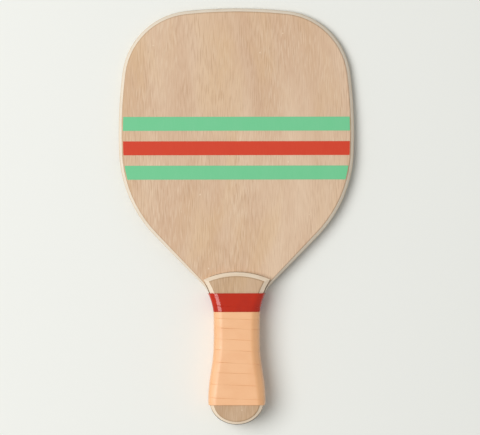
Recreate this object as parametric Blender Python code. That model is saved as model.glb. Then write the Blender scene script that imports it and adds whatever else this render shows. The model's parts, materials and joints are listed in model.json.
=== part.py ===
"""Wooden beach game paddle: a plywood blade, handle scales, wound tapes and printed stripes.

The paddle lies on its back: X across the blade, +Y from the butt to the crown, +Z out of the front face.
Outlines are drawn in the blade's own plane, with the butt end at y = 0 and the middle of the plywood at z = 0.
"""
import math

import bmesh
import bpy
import numpy as np
from mathutils import Vector

MM = 0.001

# Blade outline
BLADE_LENGTH = 263.5 * MM  # from the corner of the neck to the crown
BLADE_WIDTH = 215.0 * MM
WIDEST_BELOW_CROWN = 114.5 * MM
CROWN_RADIUS = 440.0 * MM
SHOULDER_RADIUS = 65.0 * MM
SIDE_RADIUS = 444.0 * MM
CHEEK_RADIUS = 116.0 * MM
TAPER_ANGLE = math.radians(44.4)  # between the blade's lower edges and the paddle's axis

# Handle outline
HANDLE_WIDTH = 39.6 * MM  # at the waist
BUTT_SWELL = 5.1 * MM  # how far the butt stands out past the waist on each side
BUTT_DEPTH = 21.5 * MM  # from the butt end to the butt's widest place
FLARE_HEIGHT = 54.4 * MM  # over which the butt narrows to the waist
WAIST_LENGTH = 23.5 * MM  # the straight run between the flare and the neck
NECK_RADIUS = 42.0 * MM

# Plywood
FACE_PLY = 0.5 * MM
CROSSBAND_PLY = 1.8 * MM
CORE_PLY = 2.0 * MM
GLUE_LINE = 0.1 * MM
BLADE_EDGE_ROUND = 3.6 * MM  # how far the rounded edge eats into the face
HANDLE_EDGE_ROUND = 0.7 * MM
EDGE_FADE_BELOW_NECK = 1.0 * MM  # where the handle's edge starts to turn into the blade's
EDGE_FADE_ABOVE_NECK = 22.0 * MM  # where it has the blade's form

# Handle scales
SCALE_THICKNESS = 8.0 * MM
SCALE_VENEER = 0.6 * MM
SCALE_CORNER_ABOVE_NECK = 16.0 * MM
SCALE_CORNER_MARGIN = 1.6 * MM  # from the scale's corner to the edge of the blade's face
SCALE_ARCH_RISE = 6.7 * MM
SCALE_NECK_RADIUS = 75.0 * MM
BEVEL_SLOPE = math.radians(30)  # against the scale's face
BUTT_BEVEL = 3.0 * MM
GRIP_BEVEL = 5.0 * MM
ARCH_BEVEL = 4.5 * MM
BUTT_BEVEL_RUN = 38.0 * MM  # over this height the butt's bevel grows into the grip's

# Tapes
GRIP_BOTTOM = 17.9 * MM
GRIP_TURNS = 8
GRIP_TAPE_THICKNESS = 1.0 * MM
COLLAR_TOP_ABOVE_NECK = 3.5 * MM
COLLAR_HEIGHT = 17.0 * MM
COLLAR_TURNS = 2
COLLAR_TAPE_THICKNESS = 1.1 * MM
TAPE_CLEARANCE = 0.3 * MM  # between the tapes and the wood
TURN_GAP = 0.5 * MM  # between neighbouring turns, and between the two tapes
TAPE_TIP = 0.6 * MM  # width at which a tape's tapered end is cut
SIDE_FLAT = 2.4 * MM  # height of the tapes' flat at the handle's side

# Printed stripes
STRIPE_WIDTH = 12.7 * MM
STRIPE_PITCH = 22.3 * MM
MIDDLE_STRIPE_BELOW_CROWN = 127.6 * MM
STRIPE_MARGIN = 0.2 * MM  # left bare beside the rounded edge
INK_THICKNESS = 0.12 * MM

# Fineness of the curves
CHORD_ERROR = 0.08 * MM
EDGE_STEPS = 2  # rings across a ply's rounded edge
SHARP_ANGLE = math.radians(22)

# Colours as seen, each with its roughness
FACE_WOOD = ((216, 184, 153), 0.55)
SCALE_FACE_WOOD = ((200, 167, 134), 0.55)
PALE_WOOD = ((230, 211, 186), 0.6)
CORE_WOOD = ((214, 188, 155), 0.65)
PEACH_TAPE = ((243, 186, 139), 0.5)
RED_TAPE = ((182, 50, 31), 0.22)
GREEN_INK = ((118, 203, 148), 0.5)
RED_INK = ((212, 74, 50), 0.5)

# Worked out from the sizes above
HALF_HANDLE = HANDLE_WIDTH / 2
HALF_BUTT = HALF_HANDLE + BUTT_SWELL
WAIST_BOTTOM = BUTT_DEPTH + FLARE_HEIGHT
WAIST_TOP = WAIST_BOTTOM + WAIST_LENGTH
NECK_CORNER = WAIST_TOP + NECK_RADIUS * math.tan(TAPER_ANGLE / 2)  # where side and taper would cross
OVERALL_LENGTH = NECK_CORNER + BLADE_LENGTH
HALF_BLADE = CORE_PLY / 2 + CROSSBAND_PLY + FACE_PLY + 2 * GLUE_LINE
SCALE_TOP = HALF_BLADE + SCALE_THICKNESS
COLLAR_TOP = NECK_CORNER + COLLAR_TOP_ABOVE_NECK
COLLAR_BOTTOM = COLLAR_TOP - COLLAR_HEIGHT
REST_HEIGHT = SCALE_TOP + TAPE_CLEARANCE + max(GRIP_TAPE_THICKNESS, COLLAR_TAPE_THICKNESS)


# Outlines

def direction(angle):
    return Vector((math.cos(angle), math.sin(angle)))


def heading(start, end):
    return math.atan2(end.y - start.y, end.x - start.x)


def blend(low, high, share):
    """From low to high as share goes from 0 to 1, with a smooth start and end."""
    share = min(max(share, 0.0), 1.0)
    return low + (high - low) * share * share * (3 - 2 * share)


def arc(centre, radius, start, end):
    """Points and outward normals along an arc; one drawn clockwise is hollow, so its normals turn round."""
    step = 2 * math.acos(1 - CHORD_ERROR / radius)
    count = max(2, math.ceil(abs(end - start) / step))
    side = 1 if end > start else -1
    angles = [start + (end - start) * k / count for k in range(count + 1)]
    return [(centre + radius * direction(a), side * direction(a)) for a in angles]


def chain(*arcs):
    """Arcs joined end to start, where each joint is kept once; a gap between two arcs is a straight run."""
    joined = list(arcs[0])
    for piece in arcs[1:]:
        meets = (piece[0][0] - joined[-1][0]).length < CHORD_ERROR
        joined += piece[1:] if meets else piece
    return joined


def circles_meet(centre, radius, other, other_radius):
    """The two points where two circles cross."""
    apart = other - centre
    along = (radius**2 - other_radius**2 + apart.length_squared) / (2 * apart.length)
    across = math.sqrt(radius**2 - along**2)
    middle = centre + apart.normalized() * along
    square = Vector((-apart.y, apart.x)).normalized() * across
    return middle + square, middle - square


def butt_end(inset):
    """A quarter of the butt's oval end, from the paddle's axis to the widest place, moved inwards by inset."""
    places = []
    for _, out in arc(Vector((0, 0)), HALF_BUTT, -math.pi / 2, 0):
        point = Vector((HALF_BUTT * out.x, BUTT_DEPTH * (1 + out.y)))
        normal = Vector((out.x / HALF_BUTT, out.y / BUTT_DEPTH)).normalized()
        places.append((point - normal * inset, normal))
    return places


def butt_arcs(inset):
    """The oval butt, and the two like arcs that narrow it to the waist, moved inwards by inset."""
    radius = (FLARE_HEIGHT**2 + BUTT_SWELL**2) / (4 * BUTT_SWELL)
    bulge = Vector((HALF_BUTT - radius, BUTT_DEPTH))
    flare = Vector((HALF_HANDLE + radius, WAIST_BOTTOM))
    turn = heading(bulge, flare)
    return (
        butt_end(inset),
        arc(bulge, radius - inset, 0, turn),
        arc(flare, radius + inset, math.pi + turn, math.pi),
    )


def neck_arc():
    """The hollow curve from the handle's side into the blade's lower edge."""
    centre = Vector((HALF_HANDLE + NECK_RADIUS, WAIST_TOP))
    return arc(centre, NECK_RADIUS, math.pi, math.pi - TAPER_ANGLE)


def blade_arcs():
    """Cheek, side, shoulder and crown, each running smoothly into the next."""
    side = Vector((BLADE_WIDTH / 2 - SIDE_RADIUS, OVERALL_LENGTH - WIDEST_BELOW_CROWN))
    crown = Vector((0, OVERALL_LENGTH - CROWN_RADIUS))
    meets = circles_meet(crown, CROWN_RADIUS - SHOULDER_RADIUS, side, SIDE_RADIUS - SHOULDER_RADIUS)
    shoulder = max(meets, key=lambda point: point.x)
    # The cheek's centre runs beside the taper until its circle touches the side's.
    taper = Vector((math.sin(TAPER_ANGLE), math.cos(TAPER_ANGLE)))
    inner = Vector((HALF_HANDLE, NECK_CORNER)) - CHEEK_RADIUS * direction(-TAPER_ANGLE)
    along = (side - inner).dot(taper)
    spare = (side - inner).length_squared - (SIDE_RADIUS - CHEEK_RADIUS) ** 2
    cheek = inner + taper * (along + math.sqrt(along**2 - spare))
    return (
        arc(cheek, CHEEK_RADIUS, -TAPER_ANGLE, heading(side, cheek)),
        arc(side, SIDE_RADIUS, heading(side, cheek), heading(side, shoulder)),
        arc(shoulder, SHOULDER_RADIUS, heading(side, shoulder), heading(crown, shoulder)),
        arc(crown, CROWN_RADIUS, heading(crown, shoulder), math.pi / 2),
    )


OUTLINE = chain(*butt_arcs(0), neck_arc(), *blade_arcs())


def edge_inset(height, z):
    """How far the rounded edge lies inside the outline, at a height up the paddle and a z."""
    fade = (height - NECK_CORNER + EDGE_FADE_BELOW_NECK) / (EDGE_FADE_BELOW_NECK + EDGE_FADE_ABOVE_NECK)
    at_face = blend(HANDLE_EDGE_ROUND, BLADE_EDGE_ROUND, fade)
    return at_face * (z / HALF_BLADE) ** 2


def half_ring(points):
    """Right half of an outline as vectors, with its two ends set on the paddle's axis."""
    ring = [Vector(point) for point in points]
    ring[0].x = ring[-1].x = 0
    return ring


def blade_ring(z):
    """The blade's outline at one z, from the butt end to the crown."""
    moved = [point - normal * edge_inset(point.y, z) for point, normal in OUTLINE]
    return half_ring((point.x, point.y, z) for point in moved)


def point_at(ring, height):
    """The point of a half ring at a height, read along its straight facets."""
    for low, high in zip(ring, ring[1:]):
        if low.y <= height < high.y:
            return low.lerp(high, (height - low.y) / (high.y - low.y))
    raise ValueError("the outline doesn't reach this height")


BLADE_FACE = blade_ring(HALF_BLADE)
BLADE_MIDDLE = blade_ring(0)


def scale_ring(level):
    """A scale's outline, where level gives the inset and the z that go with a bevel's width."""
    foot = Vector((0, NECK_CORNER + SCALE_CORNER_ABOVE_NECK))
    foot.x = point_at(BLADE_FACE, foot.y).x - SCALE_CORNER_MARGIN
    side = HALF_HANDLE - HANDLE_EDGE_ROUND
    sweep = math.acos(1 - (foot.x - side) / SCALE_NECK_RADIUS)
    neck = Vector((side + SCALE_NECK_RADIUS, foot.y - SCALE_NECK_RADIUS * math.sin(sweep)))
    arch_radius = (foot.x**2 + SCALE_ARCH_RISE**2) / (2 * SCALE_ARCH_RISE)
    arch = Vector((0, foot.y + SCALE_ARCH_RISE - arch_radius))
    # The corner moves in with the bevel, and the same number of points is spread up to it and past it.
    corner_inset = level(ARCH_BEVEL)[0]
    meets = circles_meet(neck, SCALE_NECK_RADIUS + corner_inset, arch, arch_radius - corner_inset)
    corner = max(meets, key=lambda point: point.y)
    side_count = len(arc(neck, SCALE_NECK_RADIUS, math.pi, math.pi - sweep))
    arch_count = len(arc(arch, arch_radius, heading(arch, foot), math.pi / 2))

    outline = [
        (point, normal, blend(BUTT_BEVEL, GRIP_BEVEL, point.y / BUTT_BEVEL_RUN))
        for point, normal in chain(*butt_arcs(HANDLE_EDGE_ROUND))
    ]
    for share in np.linspace(0, 1, side_count)[:-1]:
        out = direction(math.pi + (heading(neck, corner) - math.pi) * share)
        bevel = GRIP_BEVEL + (ARCH_BEVEL - GRIP_BEVEL) * share
        outline.append((neck + SCALE_NECK_RADIUS * out, -out, bevel))
    for angle in np.linspace(heading(arch, corner), math.pi / 2, arch_count):
        out = direction(angle)
        outline.append((arch + arch_radius * out, out, ARCH_BEVEL))

    points = []
    for point, normal, bevel in outline:
        inset, z = level(bevel)
        points.append((*(point - normal * inset), z))
    return half_ring(points)


def bevel_at(depth):
    """The level of a scale's bevel at a depth below its face."""
    return lambda bevel: (bevel - depth / math.tan(BEVEL_SLOPE), SCALE_TOP - depth)


SCALE_FOOT = scale_ring(lambda bevel: (0, HALF_BLADE + GLUE_LINE))
SCALE_WALL = scale_ring(lambda bevel: (0, SCALE_TOP - bevel * math.tan(BEVEL_SLOPE)))
SCALE_FACE = scale_ring(bevel_at(0))


# Solids

def lofted(rings):
    """A closed mesh through half rings of rising z, each mirrored about the paddle's axis."""
    bm = bmesh.new()
    loops = []
    for ring in rings:
        right = [bm.verts.new(point) for point in ring]
        left = [v if v.co.x == 0 else bm.verts.new((-v.co.x, v.co.y, v.co.z)) for v in right]
        loops.append((right, left))
    for (right, left), (right_above, left_above) in zip(loops, loops[1:]):
        outlines = []
        for ahead, back in ((right, left), (right_above, left_above)):
            outlines.append(ahead + [v for v in reversed(back) if v not in ahead])
        low, high = outlines
        for k in range(len(low)):
            bm.faces.new((low[k - 1], low[k], high[k], high[k - 1]))
    for (right, left), top in ((loops[0], False), (loops[-1], True)):
        for k in range(len(right) - 1):
            corners = dict.fromkeys((right[k], right[k + 1], left[k + 1], left[k]))
            face = bm.faces.new(tuple(corners) if top else tuple(reversed(corners)))
            face.normal_update()
            for edge in face.edges:
                edge.smooth = False
    return finished(bm)


def finished(bm):
    """The bmesh as a mesh, shaded smooth but for its sharp edges."""
    bm.normal_update()
    for face in bm.faces:
        face.smooth = True
    for edge in bm.edges:
        if edge.is_manifold and edge.calc_face_angle() > SHARP_ANGLE:
            edge.smooth = False
    mesh = bpy.data.meshes.new("solid")
    bm.to_mesh(mesh)
    bm.free()
    return mesh


def grip_section(height):
    """Corners (x, z) of the handle's section, from the back's left corner to the right and over the front."""
    side = point_at(BLADE_MIDDLE, height)
    wall = point_at(SCALE_WALL, height)
    face = point_at(SCALE_FACE, height)
    quarter = [(side.x, SIDE_FLAT / 2), (wall.x, wall.z), (face.x, face.z)]
    right = [Vector((x, -z)) for x, z in reversed(quarter)] + [Vector(corner) for corner in quarter]
    left = [-corner for corner in right]
    return left[-1:] + right + left[:-1]


def around(height, offset):
    """Points round the section at an offset from it, two at each corner, so that the offset stays even."""
    corners = grip_section(height)
    edges = [after - corner for corner, after in zip(corners, corners[1:] + corners[:1])]
    normals = [Vector((edge.y, -edge.x)).normalized() for edge in edges]
    points = []
    for k, corner in enumerate(corners):
        for normal in (normals[k - 1], normals[k]):
            x, z = corner + normal * offset
            points.append(Vector((x, height, z)))
    return points


def least_gap(sections, turn):
    """The least distance between points of a winding that are half a turn or more apart along it."""
    points = np.array([[tuple(point) for point in section] for section in sections])
    least = math.inf
    for k in range(len(points)):
        later = points[k + turn // 2:].reshape(-1, 3)
        if len(later):
            apart = points[k][:, None, :] - later[None, :, :]
            least = min(least, np.sqrt((apart**2).sum(axis=2)).min())
    return least


def wound(name, bottom, top, turns, thickness):
    """One tape wound up the handle, tapered at both ends so that its first and last edges are level."""
    pitch = (top - bottom + TURN_GAP) / turns
    middle = around((bottom + top) / 2, TAPE_CLEARANCE)
    steps = [(point - middle[k - 1]).length for k, point in enumerate(middle)]
    shares = np.cumsum([0, *steps[1:]]) / sum(steps)
    sections = []
    for station in range(len(middle) * (turns + 1)):
        lap, place = divmod(station, len(middle))
        wind = lap + shares[place]
        low = max(bottom, bottom + pitch * (wind - 1))
        high = min(top, bottom + pitch * wind - TURN_GAP)
        if high - low < TAPE_TIP:
            continue
        heights = (low, (low + high) / 2, high)
        inner = [around(height, TAPE_CLEARANCE)[place] for height in heights]
        outer = [around(height, TAPE_CLEARANCE + thickness)[place] for height in heights]
        sections.append(inner + outer[::-1])
    print(f"{name}: least gap to itself {least_gap(sections, len(middle)) / MM:.2f} mm")
    return sections


def ribbon(sections):
    """A closed mesh through the sections of a tape, each three points inside and three outside."""
    bm = bmesh.new()
    rows = [[bm.verts.new(point) for point in section] for section in sections]
    for row, after in zip(rows, rows[1:]):
        for k in range(len(row)):
            bm.faces.new((row[k], row[k - 1], after[k - 1], after[k]))
    for row, turned in ((rows[0], False), (rows[-1], True)):
        for face in ((row[0], row[1], row[4], row[5]), (row[1], row[2], row[3], row[4])):
            bm.faces.new(face[::-1] if turned else face)
    return finished(bm)


# Objects

def linear(level):
    """A colour level from 0 to 255, as light."""
    share = level / 255
    return share / 12.92 if share <= 0.04045 else ((share + 0.055) / 1.055) ** 2.4


def material(name, colour, roughness):
    surface = bpy.data.materials.new(name)
    surface.use_nodes = True
    shader = surface.node_tree.nodes["Principled BSDF"]
    shader.inputs["Base Color"].default_value = (*(linear(level) for level in colour), 1)
    shader.inputs["Roughness"].default_value = roughness
    shader.inputs["Metallic"].default_value = 0
    return surface


def add(name, mesh, finish, back=False):
    """A named piece on the paddle's frame; a back piece is a front one turned about the paddle's axis."""
    mesh.name = name
    mesh.materials.append(material(name, *finish))
    piece = bpy.data.objects.new(name, mesh)
    bpy.context.collection.objects.link(piece)
    piece.parent = bpy.data.objects["paddle"]
    piece.rotation_euler.y = math.pi if back else 0


def add_frame():
    """The paddle's own axes: the butt end, set so that the whole paddle stands over the world's origin."""
    frame = bpy.data.objects.new("paddle", None)
    frame.location = (0, -OVERALL_LENGTH / 2, REST_HEIGHT)
    bpy.context.collection.objects.link(frame)


def ply(low, thickness):
    """One layer of the plywood, from z = low."""
    return lofted([blade_ring(low + thickness * k / EDGE_STEPS) for k in range(EDGE_STEPS + 1)])


def scale_block():
    seam = SCALE_VENEER + GLUE_LINE
    return lofted([SCALE_FOOT, SCALE_WALL, scale_ring(bevel_at(seam))])


def scale_veneer():
    return lofted([scale_ring(bevel_at(SCALE_VENEER)), SCALE_FACE])


def stripe(centre):
    """A film of ink across the blade's flat face."""
    low = centre - STRIPE_WIDTH / 2
    high = centre + STRIPE_WIDTH / 2
    between = [point for point in BLADE_FACE if low < point.y < high]
    side = [point_at(BLADE_FACE, low), *between, point_at(BLADE_FACE, high)]
    foot = HALF_BLADE + GLUE_LINE
    return lofted([
        [Vector((point.x - STRIPE_MARGIN, point.y, z)) for point in side]
        for z in (foot, foot + INK_THICKNESS)
    ])


def add_blade():
    crossband_foot = CORE_PLY / 2 + GLUE_LINE
    add("core_ply", ply(-CORE_PLY / 2, CORE_PLY), CORE_WOOD)
    for side, back in (("front", False), ("back", True)):
        add(side + "_crossband", ply(crossband_foot, CROSSBAND_PLY), PALE_WOOD, back)
        add(side + "_face_veneer", ply(HALF_BLADE - FACE_PLY, FACE_PLY), FACE_WOOD, back)


def add_stripes():
    middle = OVERALL_LENGTH - MIDDLE_STRIPE_BELOW_CROWN
    rows = (("upper", 1, GREEN_INK), ("middle", 0, RED_INK), ("lower", -1, GREEN_INK))
    for side, back in (("front", False), ("back", True)):
        for row, step, ink in rows:
            add(f"{side}_stripe_{row}", stripe(middle + step * STRIPE_PITCH), ink, back)


def add_handle():
    for side, back in (("front", False), ("back", True)):
        add(side + "_scale_block", scale_block(), PALE_WOOD, back)
        add(side + "_scale_veneer", scale_veneer(), SCALE_FACE_WOOD, back)
    grip = wound("grip_tape", GRIP_BOTTOM, COLLAR_BOTTOM - TURN_GAP, GRIP_TURNS, GRIP_TAPE_THICKNESS)
    collar = wound("collar_tape", COLLAR_BOTTOM, COLLAR_TOP, COLLAR_TURNS, COLLAR_TAPE_THICKNESS)
    add("grip_tape", ribbon(grip), PEACH_TAPE)
    add("collar_tape", ribbon(collar), RED_TAPE)


def main():
    for old in list(bpy.data.objects):
        bpy.data.objects.remove(old)
    add_frame()
    add_blade()
    add_stripes()
    add_handle()


main()
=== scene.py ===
"""Looks of the beach game paddle: wood, ink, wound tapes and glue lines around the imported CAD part.

The frame is the paddle's own: X across the blade, +Y from the butt to the crown, +Z out of its front.
Lengths are in metres.
"""
import json
import math
from collections import namedtuple

import bmesh
import bpy
import numpy as np
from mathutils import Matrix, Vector

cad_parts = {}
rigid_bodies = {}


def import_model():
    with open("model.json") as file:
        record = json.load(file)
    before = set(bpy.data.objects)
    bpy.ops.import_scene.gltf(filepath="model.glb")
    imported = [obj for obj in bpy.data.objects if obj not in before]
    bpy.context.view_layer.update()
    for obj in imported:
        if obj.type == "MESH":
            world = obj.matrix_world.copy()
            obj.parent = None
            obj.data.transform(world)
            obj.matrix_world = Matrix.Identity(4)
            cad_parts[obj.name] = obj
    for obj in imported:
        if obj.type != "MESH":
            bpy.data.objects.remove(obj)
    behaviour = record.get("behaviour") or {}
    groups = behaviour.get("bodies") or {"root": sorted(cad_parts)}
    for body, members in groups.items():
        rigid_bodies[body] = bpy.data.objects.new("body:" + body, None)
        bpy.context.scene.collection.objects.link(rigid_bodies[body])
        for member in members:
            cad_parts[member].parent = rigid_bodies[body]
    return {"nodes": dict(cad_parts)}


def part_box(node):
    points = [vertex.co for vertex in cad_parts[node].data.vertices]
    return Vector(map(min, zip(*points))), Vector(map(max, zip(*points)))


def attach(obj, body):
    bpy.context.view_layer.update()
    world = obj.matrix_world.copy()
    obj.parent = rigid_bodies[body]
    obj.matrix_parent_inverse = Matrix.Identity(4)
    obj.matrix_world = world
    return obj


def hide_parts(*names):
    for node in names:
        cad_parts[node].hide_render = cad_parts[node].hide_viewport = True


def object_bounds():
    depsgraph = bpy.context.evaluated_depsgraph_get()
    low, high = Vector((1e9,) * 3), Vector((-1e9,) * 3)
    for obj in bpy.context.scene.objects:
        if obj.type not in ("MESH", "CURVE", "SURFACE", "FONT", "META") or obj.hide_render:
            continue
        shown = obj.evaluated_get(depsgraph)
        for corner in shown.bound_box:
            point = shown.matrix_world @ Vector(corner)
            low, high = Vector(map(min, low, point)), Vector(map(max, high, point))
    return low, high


for old in list(bpy.data.objects):
    bpy.data.objects.remove(old)

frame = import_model()
CAD_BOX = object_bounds()
NODES = frame["nodes"]
SIDES = ("front", "back")
MM = 0.001

# Middle of the paddle's thickness, and its two ends
MIDDLE_Z = (CAD_BOX[0].z + CAD_BOX[1].z) / 2
BUTT_Y = CAD_BOX[0].y
CROWN_Y = CAD_BOX[1].y

# The photograph's frame, and the long lens that sees it from straight above
IMAGE_WIDTH = 480
IMAGE_HEIGHT = 435
METRES_PER_PIXEL = 0.9137 * MM
BUTT_PIXEL = (236.9, 424.5)
CROWN_PIXEL = (236.2, 8.6)
LENS = 400.0  # in millimetres, like the sensor
SENSOR = 36.0

# Reading the CAD nodes: how near counts as the same Z, and the decimals to which corners are compared
NEAR = 0.01 * MM
DECIMALS = 7

# Soft shading: corners this close are joined, and edges sharper than these stay sharp
JOIN_DISTANCE = 0.002 * MM
NODE_SHARP_ANGLE = math.radians(22)
PIECE_SHARP_ANGLE = math.radians(40)

# Grip tape: where the lines between its turns cross the handle's right side, above the butt
GRIP_LINES = [height * MM for height in (21.5, 34.3, 45.6, 54.3, 66.0, 75.9, 86.2, 95.0)]
GRIP_THICKNESS = 1.0 * MM
GRIP_GROOVE = (0.46 * MM, 0.26 * MM)  # width of a turn's rolled edge, and a line's full depth
GRIP_CORNER = 8.0 * MM  # radius of the tape's outside over the handle's corners
SPARE_TURNS = 2  # turns that the winding is followed past the first and the last line

# Collar tape
COLLAR_TURNS = 2
COLLAR_THICKNESS = 1.1 * MM
COLLAR_GROOVE = (0.42 * MM, 0.36 * MM)
COLLAR_CORNER = 10.0 * MM
COLLAR_OPEN = 0.40  # turns past the right side at which the first turn's edge stands open
COLLAR_OPEN_REACH = 0.08  # turns to either side over which it closes

# Both tapes
TAPE_CLEARANCE = 0.3 * MM  # between the tapes and the wood
TURN_GAP = 0.02 * MM  # between neighbouring turns, and between the two tapes
TAPE_TIP = 0.6 * MM  # width at which a tape's tapered end is cut
INNER_CORNER = 3.0 * MM  # radius of the corners next to the wood
SIDE_FLAT = 2.4 * MM  # thickness, along Z, of the flat at the handle's side
CORNER_SHARE = 0.45  # the most of a flat that a rounded corner takes
EDGE_SHARE = 0.3  # the most of a turn's width that one rolled edge takes
BAND_START = 1.5  # where the flat band starts past a turn's edge, in widths of the rolled edge
FRONT_EASE = 0.5  # share of the winding's slope that is taken off the front and given to the back
FAINT_LINE = 0.10  # depth of a line where the turns are pressed together, against its full depth
MEAN_LINE = 0.5  # depth about which the grip's lines come and go
LINE_WAVES = ((3.7, 0.4, 0.55), (8.3, 1.3, 0.40))  # waves to a turn, start and share of a line's depth

# Points of a tape round a corner, along a flat, over a rolled edge and across its band
CORNER_STEPS = 8
FLAT_STEPS = 4
EDGE_STEPS = 4
BAND_STEPS = 4

# Glue squeezed out along the foot of the handle scales; near the butt the bead is thicker and darker,
# grime with painted contact shadow
GLUE_RADIUS = 0.36 * MM
GRIME_AND_SHADE_RADIUS = 0.68 * MM
GRIME_AND_SHADE_TOP = 15.0 * MM  # above the butt, where the grime and painted shade end
GRIME_AND_SHADE_FULL = 7.0 * MM  # above the butt, where it starts to thin out
GLUE_SIDES = 8

# Levels between which nearly all of a noise lies, and what a ramp gives by itself
NOISE_RANGE = (0.3, 0.7)
FULL_RANGE = (0.0, 1.0)

# Layers of noise in the materials: features to a metre along X, Y and Z, a shift that sets one layer
# apart from the next, how many finer octaves it has, and the levels between which it comes in
Layer = namedtuple("Layer", "scale shift detail levels", defaults=(0.0, 2.0, NOISE_RANGE))
VENEER_BANDS = Layer((34, 6, 34), detail=1.5)
VENEER_TINT = Layer((30, 10, 30), shift=17.3, levels=(0.38, 0.74))
VENEER_STREAKS = Layer((260, 18, 260), shift=3.1)
VENEER_FLECKS = Layer((1150, 76, 1150), shift=5.7, detail=0.0, levels=(0.48, 0.72))
VENEER_RAYS = Layer((1050, 94, 1050), shift=8.3, detail=0.0, levels=(0.49, 0.74))
VENEER_FIBRE = Layer((2800, 110, 2800), shift=11.9, levels=(0.35, 0.75))
VENEER_DOTS = Layer((330, 240, 330), shift=14.6, detail=0.0, levels=(0.85, 0.90))
VENEER_FLECKED = Layer((30, 11, 30), shift=20.1, levels=(0.38, 0.62))
VENEER_RAYED = Layer((26, 9, 26), shift=23.9, levels=(0.38, 0.62))
CUT_LINES = Layer((45, 45, 1900))
CUT_PATCHES = Layer((60, 60, 60), shift=2.3)
CUT_PORES = Layer((1500, 1500, 2600), shift=4.9, detail=1.0, levels=(0.62, 0.78))
CUT_RAYS = Layer((500, 500, 2400), shift=7.7, detail=1.0, levels=(0.62, 0.80))
INK_FIBRE = Layer((3200, 120, 3200), levels=(0.45, 0.75))
INK_CLOUDS = Layer((70, 40, 70), shift=2.0, detail=3.0, levels=(0.35, 0.7))
RUBBER_SMUDGES = Layer((55, 90, 55), shift=1.7, detail=3.0, levels=(0.35, 0.7))
RUBBER_SKIN = Layer((2600, 2600, 2600), shift=4.1)
VINYL_PULLS = Layer((60, 900, 60), shift=2.2)
VINYL_CLOUDS = Layer((80, 80, 80), shift=6.4, levels=(0.35, 0.7))
GLUE_DUST = Layer((900, 900, 900), shift=3.3, detail=3.0)

# Turn of the noise's own lattice, so that it doesn't line up with the piece
NOISE_TURN = (0, 0, 0.5)

# Figure of the veneer: its bands bow to the right, furthest at the stripes, and waver a little
FIGURE_MIDDLE = 65.0 * MM
FIGURE_BOW = 1.1  # metres aside for each square metre along
FIGURE_WARP = 0.5

# Shares of the layers in a material's colour
BAND_SHARE = 0.80
STREAK_SHARE = 0.05
TINT_SHARE = 0.4
FIBRE_SHARE = 0.20
FLECK_SHARES = (0.12, 0.36)  # where flecks are rare, and where they gather
RAY_SHARES = (0.12, 0.34)  # where rays are rare, and where they gather
DOT_SHARE = 0.7
CUT_LINE_SHARE = 0.5
CUT_PATCH_SHARE = 0.5
CUT_PORE_SHARE = 0.40
CUT_RAY_SHARE = 0.35
INK_FIBRE_SHARE = 0.6
INK_CLOUD_SHARE = 0.4

# Relief, and the range of roughness of each material
VENEER_RELIEF = 0.05 * MM
CUT_RELIEF = 0.04 * MM
INK_RELIEF = 0.03 * MM
RUBBER_RELIEF = 0.03 * MM
VINYL_RELIEF = 0.0005 * MM
GLUE_RELIEF = 0.05 * MM
FLECK_SINK = 0.7  # depth of the flecks against the height of the fibre
PORE_SINK = 0.8  # depth of the pores against the height of the lines
VENEER_ROUGHNESS = (0.47, 0.60)
CUT_ROUGHNESS = (0.50, 0.64)
INK_ROUGHNESS = (0.48, 0.60)
RUBBER_ROUGHNESS = (0.50, 0.58)
VINYL_ROUGHNESS = (0.14, 0.18)
GLUE_ROUGHNESS = (0.45, 0.65)
CUT_TILT = (0.02, 0.08)  # how far a veneer's face turns away as it becomes its cut edge

# Colours as seen, from 0 to 255
WOOD_WARM = (213, 178, 147)
WOOD_LIGHT = (229, 201, 172)
WOOD_FLECK = (181, 142, 108)
WOOD_RAY = (235, 212, 184)
WOOD_GOLD = (221, 185, 138)
WOOD_CUT = (150, 120, 88)
SCALE_WARM = (194, 160, 127)
SCALE_LIGHT = (209, 178, 146)
SCALE_FLECK = (163, 126, 94)
SCALE_RAY = (219, 192, 161)
SCALE_GOLD = (205, 168, 122)
PALE_WARM = (230, 209, 183)
PALE_LIGHT = (238, 221, 198)
PALE_FLECK = (199, 171, 138)
PALE_RAY = (240, 226, 205)
RIM_WARM = (224, 210, 190)
RIM_LIGHT = (233, 221, 203)
CORE_WARM = (214, 189, 157)
CORE_LIGHT = (225, 203, 173)
CORE_FLECK = (182, 151, 116)
CORE_RAY = (232, 213, 186)
GREEN_INK = (112, 202, 146)
GREEN_INK_THIN = (121, 204, 152)
RED_INK = (211, 60, 31)
RED_INK_THIN = (215, 69, 41)
PEACH = (243, 180, 121)
PEACH_WORN = (240, 175, 116)
RED_VINYL = (190, 38, 5)
RED_VINYL_DEEP = (180, 33, 3)
GLUE_DARK = (128, 100, 70)
GLUE_LIGHT = (150, 121, 88)
# grime with painted contact shadow, on the glue at the butt
GRIME_WITH_PAINTED_SHADE = (74, 62, 47)
FLOOR = (239, 240, 235)

# Floor: how far it reaches, and the rows across it, close together under the paddle
FLOOR_REACH = 6.0
FLOOR_FAR_ROW = 3.0
FLOOR_NEAR_ROWS = [k * 0.02 for k in range(-40, 61)]

# The floor slopes between these two places, and past the second its rise fades out over this length
SLOPE_START = -3 * CROWN_Y
SLOPE_END = 1.1 * CROWN_Y
SLOPE_FADE = 3 * CROWN_Y

# Light
LAMP_DISTANCE = 3.2
LAMP_SIZE = 2.6
LAMP_ELEVATION = math.radians(58)
LAMP_AZIMUTH = math.radians(176)  # from +X, over +Y
LAMP_POWER = 80.0
SKY_COLOUR = (1, 1, 0.985, 1)
SKY_ZENITH = 0.365
SKY_HORIZON = 0.455


# Materials

def linear(colour):
    """A colour from 0 to 255, as light, by the sRGB curve."""
    shares = [level / 255 for level in colour]
    return [s / 12.92 if s <= 0.04045 else ((s + 0.055) / 1.055) ** 2.4 for s in shares]


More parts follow.
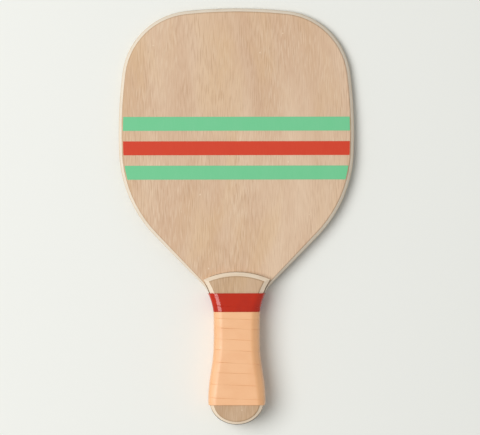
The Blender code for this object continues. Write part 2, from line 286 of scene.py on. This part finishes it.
class Graph:
    """The nodes of one material, in the piece's own coordinates."""

    def __init__(self, name):
        self.material = bpy.data.materials.new(name)
        self.material.use_nodes = True
        self.tree = self.material.node_tree
        self.shader = self.tree.nodes["Principled BSDF"]
        self.place = self.add("ShaderNodeTexCoord").outputs["Object"]

    def add(self, kind, inputs=None, **settings):
        """A new node with its settings and inputs."""
        node = self.tree.nodes.new(kind)
        for key, value in settings.items():
            setattr(node, key, value)
        for key, value in (inputs or {}).items():
            self.feed(node.inputs[key], value)
        return node

    def feed(self, socket, value):
        """Links a socket to another one, or sets its value."""
        if isinstance(value, bpy.types.NodeSocket):
            self.tree.links.new(value, socket)
        else:
            socket.default_value = value

    def shade(self, **inputs):
        """Feeds the shader's own sockets, named with _ for a space."""
        for key, value in inputs.items():
            self.feed(self.shader.inputs[key.replace("_", " ")], value)

    def noise(self, layer, seed=0.0, figure=None, flat=False):
        """A layer's soft noise, from 0 to 1.

        Noise that follows the wood's figure wavers, and flat noise is the same at every Z.
        """
        start = seed + layer.shift
        moved = self.add("ShaderNodeMapping", {
            "Vector": figure or self.place,
            "Scale": layer.scale,
            "Rotation": NOISE_TURN,
            "Location": (start, start, start),
        })
        found = self.add("ShaderNodeTexNoise", {
            "Vector": moved.outputs["Vector"],
            "Scale": 1.0,
            "Detail": layer.detail,
            "Distortion": FIGURE_WARP if figure else 0.0,
        }, noise_dimensions="2D" if flat else "3D")
        return found.outputs["Fac"]

    def ramp(self, value, levels, results=FULL_RANGE):
        """value between two levels, turned smoothly into what lies between two results."""
        found = self.add("ShaderNodeMapRange", {
            "Value": value,
            "From Min": levels[0],
            "From Max": levels[1],
            "To Min": results[0],
            "To Max": results[1],
        }, interpolation_type="SMOOTHSTEP")
        return found.outputs["Result"]

    def spots(self, layer, seed=0.0, figure=None, flat=False, results=FULL_RANGE):
        """Where a layer comes in."""
        return self.ramp(self.noise(layer, seed, figure, flat), layer.levels, results)

    def mix(self, share, low, high):
        """A colour between two others; each is a socket, or levels from 0 to 255."""
        found = self.add("ShaderNodeMix", {0: share}, data_type="RGBA")
        first, second = (socket for socket in found.inputs if socket.type == "RGBA")
        for socket, value in ((first, low), (second, high)):
            self.feed(socket, value if isinstance(value, bpy.types.NodeSocket) else (*linear(value), 1))
        return next(socket for socket in found.outputs if socket.type == "RGBA")

    def times(self, first, second):
        return self.add("ShaderNodeMath", {0: first, 1: second}, operation="MULTIPLY").outputs[0]

    def less(self, first, second):
        return self.add("ShaderNodeMath", {0: first, 1: second}, operation="SUBTRACT").outputs[0]

    def add_up(self, first, second, weight):
        """first plus second times weight."""
        found = self.add("ShaderNodeMath", {0: second, 1: weight, 2: first}, operation="MULTIPLY_ADD")
        return found.outputs[0]

    def bump(self, height, depth):
        """Relief, where a height of 1 stands for depth in metres."""
        found = self.add("ShaderNodeBump", {"Height": height, "Distance": depth, "Strength": 1.0})
        self.shade(Normal=found.outputs["Normal"])

    def bowed(self, middle, bow):
        """The coordinates with their lines along Y bowed sideways, furthest at middle."""
        x, y, z = self.add("ShaderNodeSeparateXYZ", {"Vector": self.place}).outputs
        way = self.less(y, middle)
        bent = self.add_up(x, self.times(way, way), bow)
        return self.add("ShaderNodeCombineXYZ", {"X": bent, "Y": y, "Z": z}).outputs["Vector"]

    def tilt(self):
        """How far the surface turns away from the blade's plane: 0 on faces, 1 on an upright edge."""
        normal = self.add("ShaderNodeNewGeometry").outputs["Normal"]
        upright = self.add("ShaderNodeSeparateXYZ", {"Vector": normal}).outputs["Z"]
        size = self.add("ShaderNodeMath", {0: upright}, operation="ABSOLUTE").outputs[0]
        return self.less(1.0, size)


def grain(graph, warm, light, fleck, ray, gold, seed):
    """Straight grain along Y: broad bands, streaks, short dark flecks, pale rays and a few pale dots.

    Gives its colour, its height and the noise of its streaks.
    """
    figure = graph.bowed(FIGURE_MIDDLE, FIGURE_BOW)
    bands = graph.spots(VENEER_BANDS, seed, figure)
    tint = graph.spots(VENEER_TINT, seed, figure, results=(0.0, TINT_SHARE))
    streaks = graph.noise(VENEER_STREAKS, seed)
    flecks = graph.spots(VENEER_FLECKS, seed, flat=True)
    rays = graph.spots(VENEER_RAYS, seed, flat=True)
    fibre = graph.noise(VENEER_FIBRE, seed)
    dots = graph.spots(VENEER_DOTS, seed)
    flecked = graph.spots(VENEER_FLECKED, seed, figure, results=FLECK_SHARES)
    rayed = graph.spots(VENEER_RAYED, seed, figure, results=RAY_SHARES)
    streak_share = graph.ramp(streaks, VENEER_STREAKS.levels, (0.0, STREAK_SHARE))
    fibre_share = graph.ramp(fibre, VENEER_FIBRE.levels, (0.0, FIBRE_SHARE))
    tone = graph.mix(graph.add_up(streak_share, bands, BAND_SHARE), warm, light)
    tone = graph.mix(tint, tone, gold)
    tone = graph.mix(fibre_share, tone, fleck)
    tone = graph.mix(graph.times(flecks, flecked), tone, fleck)
    tone = graph.mix(graph.times(rays, rayed), tone, ray)
    tone = graph.mix(graph.ramp(dots, FULL_RANGE, (0.0, DOT_SHARE)), tone, ray)
    return tone, graph.add_up(fibre, flecks, -FLECK_SINK), streaks


def face_wood(name, colours, seed, cut_share):
    """Sanded and lacquered veneer, whose cut edge is darker by cut_share."""
    graph = Graph(name)
    tone, height, streaks = grain(graph, *colours, seed)
    edge = graph.ramp(graph.tilt(), CUT_TILT, (0.0, cut_share))
    graph.shade(
        Base_Color=graph.mix(edge, tone, WOOD_CUT),
        Roughness=graph.ramp(streaks, NOISE_RANGE, VENEER_ROUGHNESS),
        Specular_IOR_Level=0.35,
    )
    graph.bump(height, VENEER_RELIEF)
    return graph.material


def cut_wood(name, warm, light, fleck, ray, seed):
    """Wood cut across its layers: fine lines along the edge, with end grain pores."""
    graph = Graph(name)
    lines = graph.spots(CUT_LINES, seed)
    patches = graph.spots(CUT_PATCHES, seed)
    pores = graph.spots(CUT_PORES, seed)
    rays = graph.spots(CUT_RAYS, seed)
    line_share = graph.ramp(lines, FULL_RANGE, (0.0, CUT_LINE_SHARE))
    tone = graph.mix(graph.add_up(line_share, patches, CUT_PATCH_SHARE), warm, light)
    tone = graph.mix(graph.ramp(pores, FULL_RANGE, (0.0, CUT_PORE_SHARE)), tone, fleck)
    tone = graph.mix(graph.ramp(rays, FULL_RANGE, (0.0, CUT_RAY_SHARE)), tone, ray)
    graph.shade(
        Base_Color=tone,
        Roughness=graph.ramp(patches, FULL_RANGE, CUT_ROUGHNESS),
        Specular_IOR_Level=0.3,
    )
    graph.bump(graph.add_up(lines, pores, -PORE_SINK), CUT_RELIEF)
    return graph.material


def ink(name, full, thin, seed):
    """Printed ink, a little thinner where the grain below stands up."""
    graph = Graph(name)
    fibre = graph.noise(INK_FIBRE, seed)
    clouds = graph.noise(INK_CLOUDS, seed)
    fibre_share = graph.ramp(fibre, INK_FIBRE.levels, (0.0, INK_FIBRE_SHARE))
    wear = graph.add_up(fibre_share, graph.ramp(clouds, INK_CLOUDS.levels), INK_CLOUD_SHARE)
    graph.shade(
        Base_Color=graph.mix(wear, full, thin),
        Roughness=graph.ramp(clouds, NOISE_RANGE, INK_ROUGHNESS),
        Specular_IOR_Level=0.3,
    )
    graph.bump(fibre, INK_RELIEF)
    return graph.material


def grip_rubber():
    """Satin tape with a fine pebbled skin and faint smudges."""
    graph = Graph("grip_rubber")
    smudges = graph.noise(RUBBER_SMUDGES)
    graph.shade(
        Base_Color=graph.mix(graph.ramp(smudges, RUBBER_SMUDGES.levels), PEACH, PEACH_WORN),
        Roughness=graph.ramp(smudges, NOISE_RANGE, RUBBER_ROUGHNESS),
        Specular_IOR_Level=1.0,
        IOR=1.65,
        Sheen_Weight=0.25,
        Sheen_Roughness=0.5,
    )
    graph.bump(graph.noise(RUBBER_SKIN), RUBBER_RELIEF)
    return graph.material


def collar_vinyl():
    """Glossy stretched vinyl with faint pull marks along the tape."""
    graph = Graph("collar_vinyl")
    clouds = graph.noise(VINYL_CLOUDS)
    graph.shade(
        Base_Color=graph.mix(graph.ramp(clouds, VINYL_CLOUDS.levels), RED_VINYL, RED_VINYL_DEEP),
        Roughness=graph.ramp(clouds, NOISE_RANGE, VINYL_ROUGHNESS),
        Specular_IOR_Level=0.55,
    )
    graph.bump(graph.noise(VINYL_PULLS), VINYL_RELIEF)
    return graph.material


def dried_glue():
    """Old glue with wood dust in it, thicker and darker near the butt: grime with painted contact
    shadow.
    """
    graph = Graph("dried_glue")
    dust = graph.noise(GLUE_DUST)
    height = graph.add("ShaderNodeSeparateXYZ", {"Vector": graph.place}).outputs["Y"]
    # towards the butt the glue turns to grime with painted contact shadow
    clear_of_grime_and_shade = graph.ramp(height, (BUTT_Y + GRIME_AND_SHADE_FULL, BUTT_Y + GRIME_AND_SHADE_TOP))
    tone = graph.mix(graph.ramp(dust, GLUE_DUST.levels), GLUE_DARK, GLUE_LIGHT)
    graph.shade(
        Base_Color=graph.mix(clear_of_grime_and_shade, GRIME_WITH_PAINTED_SHADE, tone),
        Roughness=graph.ramp(dust, NOISE_RANGE, GLUE_ROUGHNESS),
    )
    graph.bump(dust, GLUE_RELIEF)
    return graph.material


def floor_paint():
    """Plain matt white floor."""
    graph = Graph("floor_paint")
    graph.shade(Base_Color=(*linear(FLOOR), 1), Roughness=0.9, Specular_IOR_Level=0.1)
    return graph.material


# CAD nodes that stay

def soft_shading():
    """A modifier that joins a CAD node's triangles and shades it smooth, but for its real corners."""
    group = bpy.data.node_groups.new("soft_shading", "GeometryNodeTree")
    group.interface.new_socket("Geometry", in_out="INPUT", socket_type="NodeSocketGeometry")
    group.interface.new_socket("Geometry", in_out="OUTPUT", socket_type="NodeSocketGeometry")
    start = group.nodes.new("NodeGroupInput")
    join = group.nodes.new("GeometryNodeMergeByDistance")
    join.inputs["Distance"].default_value = JOIN_DISTANCE
    angle = group.nodes.new("GeometryNodeInputMeshEdgeAngle")
    sharp = group.nodes.new("FunctionNodeCompare")
    sharp.operation = "GREATER_THAN"
    sharp.inputs["B"].default_value = NODE_SHARP_ANGLE
    shade = group.nodes.new("GeometryNodeSetMeshNormal")
    shade.mode = "SHARPNESS"
    shade.inputs["Remove Custom"].default_value = True
    end = group.nodes.new("NodeGroupOutput")
    group.links.new(start.outputs["Geometry"], join.inputs["Geometry"])
    group.links.new(join.outputs["Geometry"], shade.inputs["Mesh"])
    group.links.new(angle.outputs["Unsigned Angle"], sharp.inputs["A"])
    group.links.new(sharp.outputs["Result"], shade.inputs["Edge Sharpness"])
    group.links.new(shade.outputs["Mesh"], end.inputs["Geometry"])
    return group


def dress(node, material, shading):
    """Gives a CAD node its material and soft shading."""
    piece = NODES[node]
    piece.material_slots[0].material = material
    piece.modifiers.new("soft_shading", "NODES").node_group = shading


def dress_nodes():
    """Wood and ink on every CAD node but the two tapes."""
    shading = soft_shading()
    blade_colours = (WOOD_WARM, WOOD_LIGHT, WOOD_FLECK, WOOD_RAY, WOOD_GOLD)
    scale_colours = (SCALE_WARM, SCALE_LIGHT, SCALE_FLECK, SCALE_RAY, SCALE_GOLD)
    blade = face_wood("blade_veneer", blade_colours, seed=1.9, cut_share=0.30)
    scale = face_wood("scale_veneer_wood", scale_colours, seed=21.3, cut_share=0.25)
    pale = cut_wood("pale_wood", PALE_WARM, PALE_LIGHT, PALE_FLECK, PALE_RAY, seed=7.5)
    rim = cut_wood("rim_wood", RIM_WARM, RIM_LIGHT, PALE_FLECK, PALE_RAY, seed=15.9)
    core = cut_wood("core_wood", CORE_WARM, CORE_LIGHT, CORE_FLECK, CORE_RAY, seed=13.1)
    green = ink("green_print", GREEN_INK, GREEN_INK_THIN, seed=3.0)
    red = ink("red_print", RED_INK, RED_INK_THIN, seed=9.0)
    dress("core_ply", core, shading)
    for side in SIDES:
        dress(side + "_face_veneer", blade, shading)
        dress(side + "_crossband", rim, shading)
        dress(side + "_scale_block", pale, shading)
        dress(side + "_scale_veneer", scale, shading)
        dress(side + "_stripe_upper", green, shading)
        dress(side + "_stripe_middle", red, shading)
        dress(side + "_stripe_lower", green, shading)


# New pieces

def add_piece(name, bm, material):
    """A piece of the paddle from a bmesh, shaded smooth but for its sharp edges."""
    bmesh.ops.recalc_face_normals(bm, faces=bm.faces)
    mesh = bpy.data.meshes.new(name)
    bm.to_mesh(mesh)
    bm.free()
    mesh.shade_smooth()
    mesh.set_sharp_from_angle(angle=PIECE_SHARP_ANGLE)
    mesh.materials.append(material)
    piece = bpy.data.objects.new(name, mesh)
    bpy.context.scene.collection.objects.link(piece)
    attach(piece, "root")
    return piece


def corners_of(node, keep):
    """The corners of a CAD node that keep picks, each of them once."""
    corners = [vertex.co for vertex in NODES[node].data.vertices]
    return {tuple(round(part, DECIMALS) for part in corner) for corner in corners if keep(corner)}


def right_line(node, low, high):
    """The right-hand corners of a CAD node between two Z, from the butt up."""
    found = corners_of(node, lambda corner: corner.x > 0 and low < corner.z < high)
    return np.array(sorted(found, key=lambda corner: corner[1]))


def handle_lines():
    """The lines that shape the handle's section: ply edge, top of the scale's wall, edge of its face."""
    foot, seam = (corner.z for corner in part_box("front_scale_block"))
    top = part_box("front_scale_veneer")[1].z
    return (
        right_line("core_ply", MIDDLE_Z - NEAR, MIDDLE_Z + NEAR),
        right_line("front_scale_block", foot + NEAR, seam - NEAR),
        right_line("front_scale_veneer", top - NEAR, top + NEAR),
    )


HANDLE_LINES = handle_lines()


def section_corners(height):
    """The handle section's corners (x, z), from the back's left one to the right and over the front."""
    places = []
    for line in HANDLE_LINES:
        places.append([np.interp(height, line[:, 1], line[:, k]) for k in (0, 2)])
    side, wall, face = places
    quarter = [(side[0], SIDE_FLAT / 2)] + [(x, z - MIDDLE_Z) for x, z in (wall, face)]
    right = [Vector((x, -z)) for x, z in reversed(quarter)] + [Vector(corner) for corner in quarter]
    left = [-corner for corner in right]
    return left[-1:] + right + left[:-1]


def rounded_corner(corners, k, offset, radius):
    """Points round one corner of a section that is moved out by offset."""
    corner = corners[k]
    before = corner - corners[k - 1]
    after = corners[(k + 1) % len(corners)] - corner
    ways = before.normalized(), after.normalized()
    outs = [Vector((way.y, -way.x)) for way in ways]
    tip = corner + (outs[0] + outs[1]) * offset / (1 + outs[0].dot(outs[1]))
    room = CORNER_SHARE * min(before.length, after.length)
    reach = min(radius * math.tan(ways[0].angle(ways[1]) / 2), room)
    points = []
    for share in np.linspace(0, 1, CORNER_STEPS):
        start = tip - ways[0] * reach * (1 - share)
        end = tip + ways[1] * reach * share
        points.append(start.lerp(end, share))
    return points


def section_point(place, height, offset, radius):
    """One of the points round the handle's section, along its rounded corners and flats in turn."""
    corners = section_corners(height)
    k, step = divmod(place, CORNER_STEPS + FLAT_STEPS)
    points = rounded_corner(corners, k, offset, radius)
    if step >= CORNER_STEPS:
        ahead = rounded_corner(corners, (k + 1) % len(corners), offset, radius)[0]
        points += [points[-1].lerp(ahead, share) for share in np.linspace(0, 1, FLAT_STEPS + 2)[1:-1]]
    x, z = points[step]
    return Vector((x, height, z + MIDDLE_Z))


def around(height, offset, radius):
    """All the points round the handle's section at one height."""
    count = len(section_corners(height)) * (CORNER_STEPS + FLAT_STEPS)
    return [section_point(place, height, offset, radius) for place in range(count)]


def tape_profile(low, high, thickness, groove, depths):
    """Heights and offsets across a tape: a flat band whose edges roll down into the lines beside it."""
    width, full = groove
    width = min(width, EDGE_SHARE * (high - low))
    outer = TAPE_CLEARANCE + thickness
    roll = [k * math.pi / 2 / (EDGE_STEPS - 1) for k in range(EDGE_STEPS)]
    lower, upper = (
        [(width * (1 - math.cos(a)), outer - full * depth * (1 - math.sin(a))) for a in roll]
        for depth in depths
    )
    rising = [(low + step, offset) for step, offset in lower]
    falling = [(high - step, offset) for step, offset in reversed(upper)]
    inset = BAND_START * width
    band = [(height, outer) for height in np.linspace(low + inset, high - inset, BAND_STEPS)]
    return [(low, TAPE_CLEARANCE), *rising, *band, *falling, (high, TAPE_CLEARANCE)]


def tape_point(place, height, offset, radius):
    """A point of a tape; its inside follows the wood closely, and its outside is rounded by radius."""
    rounding = INNER_CORNER if offset == TAPE_CLEARANCE else radius
    return section_point(place, height, offset, rounding)


def grip_line_depth(wind):
    """Depth of the grip's line after so many turns: it fades out and comes back along the winding."""
    waves = [share * math.sin(2 * math.pi * (pace * wind + start)) for pace, start, share in LINE_WAVES]
    return min(max(MEAN_LINE + sum(waves), FAINT_LINE), 1.0)


def add_tape(node, bottom, top, edge_at, depth_at, thickness, groove, radius, material):
    """One tape wound up the handle in a CAD node's place.

    edge_at gives its upper edge after so many turns, and depth_at the depth of the line there.
    """
    middle = around((bottom + top) / 2, TAPE_CLEARANCE, radius)
    steps = [(point - middle[k - 1]).length for k, point in enumerate(middle)]
    shares = np.cumsum([0, *steps[1:]]) / sum(steps)
    bm = bmesh.new()
    rows = []
    turns = 1
    while edge_at(turns - 1) < top:
        turns += 1
    for lap in range(turns):
        for place, share in enumerate(shares):
            wind = lap + share
            low = max(bottom, edge_at(wind - 1))
            high = min(top, edge_at(wind) - TURN_GAP)
            if high - low > TAPE_TIP:
                below = depth_at(wind - 1) if low > bottom else 1.0
                above = depth_at(wind) if high < top else 1.0
                profile = tape_profile(low, high, thickness, groove, (below, above))
                points = [tape_point(place, height, offset, radius) for height, offset in profile]
                rows.append([bm.verts.new(point) for point in points])
    for row, after in zip(rows, rows[1:]):
        for k in range(len(row)):
            bm.faces.new((row[k], row[k - 1], after[k - 1], after[k]))
    bm.faces.new(rows[0])
    bm.faces.new(rows[-1])
    piece = add_piece(node + "_wound", bm, material)
    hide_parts(node)


def right_side_share():
    """The share of a turn at which the winding passes the handle's right side."""
    height = BUTT_Y + GRIP_LINES[len(GRIP_LINES) // 2]
    points = around(height, TAPE_CLEARANCE, GRIP_CORNER)
    lengths = np.cumsum([0] + [(b - a).length for a, b in zip(points, points[1:])])
    total = lengths[-1] + (points[0] - points[-1]).length
    return lengths[max(range(len(points)), key=lambda k: points[k].x)] / total


def eased(turns):
    """Turns past the right side as they rise: slower across the front, a quarter turn further on."""
    return turns - FRONT_EASE / (2 * math.pi) * (1 - math.cos(2 * math.pi * turns))


def add_grip_tape(share):
    """The grip's tape, which passes the handle's right side at that share of each turn."""
    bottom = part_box("grip_tape")[0].y
    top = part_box("collar_tape")[0].y - TURN_GAP
    lines = [BUTT_Y + height for height in GRIP_LINES]
    first, last = lines[1] - lines[0], lines[-1] - lines[-2]
    below = [lines[0] - k * first for k in range(SPARE_TURNS, 0, -1)]
    above = [lines[-1] + k * last for k in range(1, SPARE_TURNS + 1)]
    turns = range(-SPARE_TURNS, len(lines) + SPARE_TURNS)

    def edge_at(wind):
        return float(np.interp(eased(wind - share), turns, below + lines + above))

    add_tape(
        "grip_tape", bottom, top, edge_at, grip_line_depth,
        GRIP_THICKNESS, GRIP_GROOVE, GRIP_CORNER, grip_rubber(),
    )


def add_collar_tape(share):
    """The collar's tape, which passes the handle's right side at that share of each turn."""
    low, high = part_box("collar_tape")
    pitch = (high.y - low.y) / COLLAR_TURNS

    def edge_at(wind):
        return low.y + pitch * (share + eased(wind - share))

    def depth_at(wind):
        """Its edge stands open at the front's left corner only."""
        return max(FAINT_LINE, 1 - abs(wind - share - COLLAR_OPEN) / COLLAR_OPEN_REACH)

    add_tape(
        "collar_tape", low.y, high.y, edge_at, depth_at,
        COLLAR_THICKNESS, COLLAR_GROOVE, COLLAR_CORNER, collar_vinyl(),
    )


def add_glue(side, material):
    """A thin bead of glue along the foot of a handle scale."""
    node = side + "_scale_block"
    low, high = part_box(node)
    foot = low.z if side == "front" else high.z
    out = 1 if side == "front" else -1
    middle = (low + high) / 2
    found = corners_of(node, lambda corner: abs(corner.z - foot) < NEAR)
    ring = sorted(found, key=lambda p: math.atan2(p[1] - middle.y, p[0] - middle.x))
    ring = [Vector(point) for point in ring]
    bm = bmesh.new()
    rows = []
    for before, point, after in zip(ring[-1:] + ring[:-1], ring, ring[1:] + ring[:1]):
        ways = (point - before).normalized() + (after - point).normalized()
        outward = Vector((ways.y, -ways.x, 0)).normalized()
        # towards the butt the bead thickens to carry grime with painted contact shadow
        radius = np.interp(point.y - BUTT_Y, (GRIME_AND_SHADE_FULL, GRIME_AND_SHADE_TOP), (GRIME_AND_SHADE_RADIUS, GLUE_RADIUS))
        row = []
        for step in range(GLUE_SIDES):
            angle = 2 * math.pi * step / GLUE_SIDES
            swing = outward * math.cos(angle) + Vector((0, 0, out)) * math.sin(angle)
            row.append(bm.verts.new(point + swing * radius))
        rows.append(row)
    for before, row in zip(rows[-1:] + rows[:-1], rows):
        for step in range(GLUE_SIDES):
            bm.faces.new((before[step - 1], before[step], row[step], row[step - 1]))
    add_piece(side + "_scale_glue", bm, material)


# Stage

def floor_height(y):
    """Height of the floor; the paddle rests on its collar's upper edge and on its crown's back."""
    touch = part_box("collar_tape")[1].y
    crown_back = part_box("back_face_veneer")[0].z
    slope = crown_back / (CROWN_Y - touch)
    height = (min(max(y, SLOPE_START), SLOPE_END) - touch) * slope
    ease = min(max(0.0, y - SLOPE_END) / SLOPE_FADE, 1.0)
    return height * (1 - ease * ease * (3 - 2 * ease))


def add_floor():
    """A wide floor, at the slope at which the paddle rests on it."""
    rows = [-FLOOR_REACH, -FLOOR_FAR_ROW, *FLOOR_NEAR_ROWS, FLOOR_FAR_ROW, FLOOR_REACH]
    bm = bmesh.new()
    edges = [[bm.verts.new((x, y, floor_height(y))) for x in (-FLOOR_REACH, FLOOR_REACH)] for y in rows]
    for low, high in zip(edges, edges[1:]):
        bm.faces.new((low[0], low[1], high[1], high[0]))
    mesh = bpy.data.meshes.new("floor")
    bm.to_mesh(mesh)
    bm.free()
    mesh.shade_smooth()
    mesh.materials.append(floor_paint())
    floor = bpy.data.objects.new("floor", mesh)
    bpy.context.scene.collection.objects.link(floor)


def add_light():
    """A wide lamp that stands for a window, and that the camera doesn't see."""
    lamp = bpy.data.lights.new("window", "AREA")
    lamp.shape = "DISK"
    lamp.size = LAMP_SIZE
    lamp.energy = LAMP_POWER
    holder = bpy.data.objects.new("window", lamp)
    flat = math.cos(LAMP_ELEVATION)
    rise = math.sin(LAMP_ELEVATION)
    away = Vector((flat * math.cos(LAMP_AZIMUTH), flat * math.sin(LAMP_AZIMUTH), rise))
    holder.location = away * LAMP_DISTANCE
    holder.visible_camera = False
    holder.rotation_euler = away.to_track_quat("Z", "Y").to_euler()
    bpy.context.scene.collection.objects.link(holder)


def add_sky():
    """Soft light from all round, brighter at the horizon than overhead."""
    world = bpy.data.worlds.new("sky")
    bpy.context.scene.world = world
    world.use_nodes = True
    nodes, links = world.node_tree.nodes, world.node_tree.links
    sky = nodes["Background"]
    sky.inputs["Color"].default_value = SKY_COLOUR
    place = nodes.new("ShaderNodeTexCoord")
    split = nodes.new("ShaderNodeSeparateXYZ")
    fade = nodes.new("ShaderNodeMapRange")
    fade.inputs["To Min"].default_value = SKY_HORIZON
    fade.inputs["To Max"].default_value = SKY_ZENITH
    links.new(place.outputs["Generated"], split.inputs["Vector"])
    links.new(split.outputs["Z"], fade.inputs["Value"])
    links.new(fade.outputs["Result"], sky.inputs["Strength"])


def add_camera():
    """Straight above the blade, turned and placed so that the butt and the crown meet their pixels."""
    lean = math.atan2(CROWN_PIXEL[0] - BUTT_PIXEL[0], BUTT_PIXEL[1] - CROWN_PIXEL[1])
    right = Vector((math.cos(lean), math.sin(lean)))
    up = Vector((-right.y, right.x))
    # from the middle of the paddle to the middle of the picture
    aside = IMAGE_WIDTH / 2 - (BUTT_PIXEL[0] + CROWN_PIXEL[0]) / 2
    above = (BUTT_PIXEL[1] + CROWN_PIXEL[1]) / 2 - IMAGE_HEIGHT / 2
    aim = (right * aside + up * above) * METRES_PER_PIXEL
    data = bpy.data.cameras.new("camera")
    data.lens = LENS
    data.sensor_width = SENSOR
    camera = bpy.data.objects.new("camera", data)
    distance = IMAGE_WIDTH * METRES_PER_PIXEL * LENS / SENSOR
    camera.location = (aim.x, aim.y, MIDDLE_Z + distance)
    camera.rotation_euler = (0, 0, lean)
    bpy.context.scene.collection.objects.link(camera)
    bpy.context.scene.camera = camera


def main():
    bpy.context.scene.view_settings.view_transform = "Standard"
    add_camera()
    add_light()
    add_sky()
    add_floor()
    dress_nodes()
    share = right_side_share()
    add_collar_tape(share)
    add_grip_tape(share)
    glue = dried_glue()
    for side in SIDES:
        add_glue(side, glue)


main()
